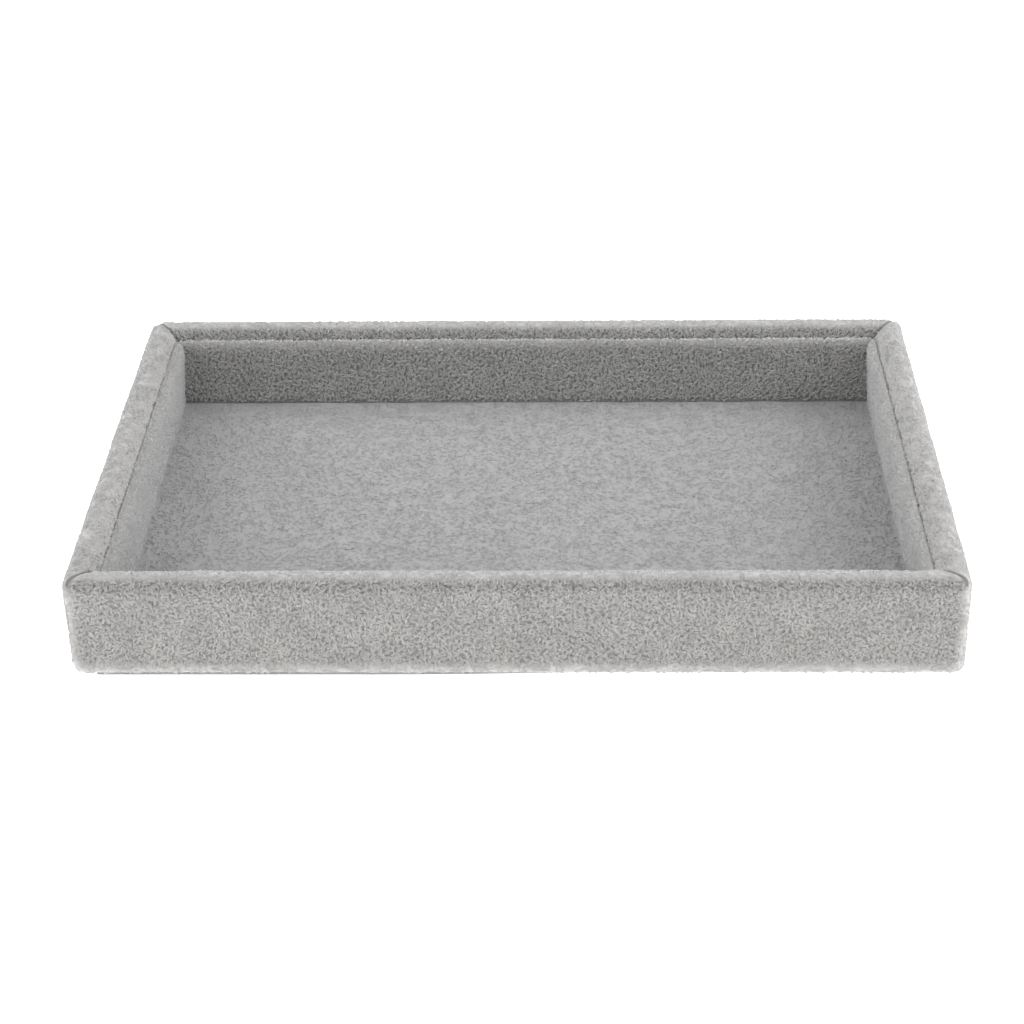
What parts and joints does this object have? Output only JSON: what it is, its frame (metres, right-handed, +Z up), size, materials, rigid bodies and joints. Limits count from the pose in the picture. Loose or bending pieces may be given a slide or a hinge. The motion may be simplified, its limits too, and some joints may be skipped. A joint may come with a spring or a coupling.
{
  "type": "jewelry tray",
  "caption": "Shallow rectangular open tray on a wooden frame, wrapped in short grey plush with mitred rim corners, with plush-faced inner liners and a flat plush floor pad.",
  "frame": {"origin": "middle of the underside, on the surface that the tray stands on", "axes": "+X along the long side to the right, +Y towards the back, +Z up"},
  "size_m": [0.3, 0.2, 0.0375],
  "materials": {
    "grey_plush": "short-pile plush, matte with a soft sheen",
    "under_felt": "pressed felt, matte",
    "rail_wood": "raw fibreboard",
    "base_hardboard": "raw hardboard",
    "grey_card": "uncoated grey board",
    "brad_steel": "bright wire"
  },
  "bodies": {
    "root": {"front_rail": "rail_wood", "rear_rail": "rail_wood", "left_rail": "rail_wood", "right_rail": "rail_wood", "base_board": "base_hardboard", "corner_brads": "brad_steel", "base_brads": "brad_steel", "outer_wrap": "grey_plush", "floor_card": "grey_card", "floor_plush": "grey_plush", "front_liner_card": "grey_card", "front_liner_plush": "grey_plush", "rear_liner_card": "grey_card", "rear_liner_plush": "grey_plush", "left_liner_card": "grey_card", "left_liner_plush": "grey_plush", "right_liner_card": "grey_card", "right_liner_plush": "grey_plush", "bottom_cover": "under_felt"}
  },
  "joints": []
}
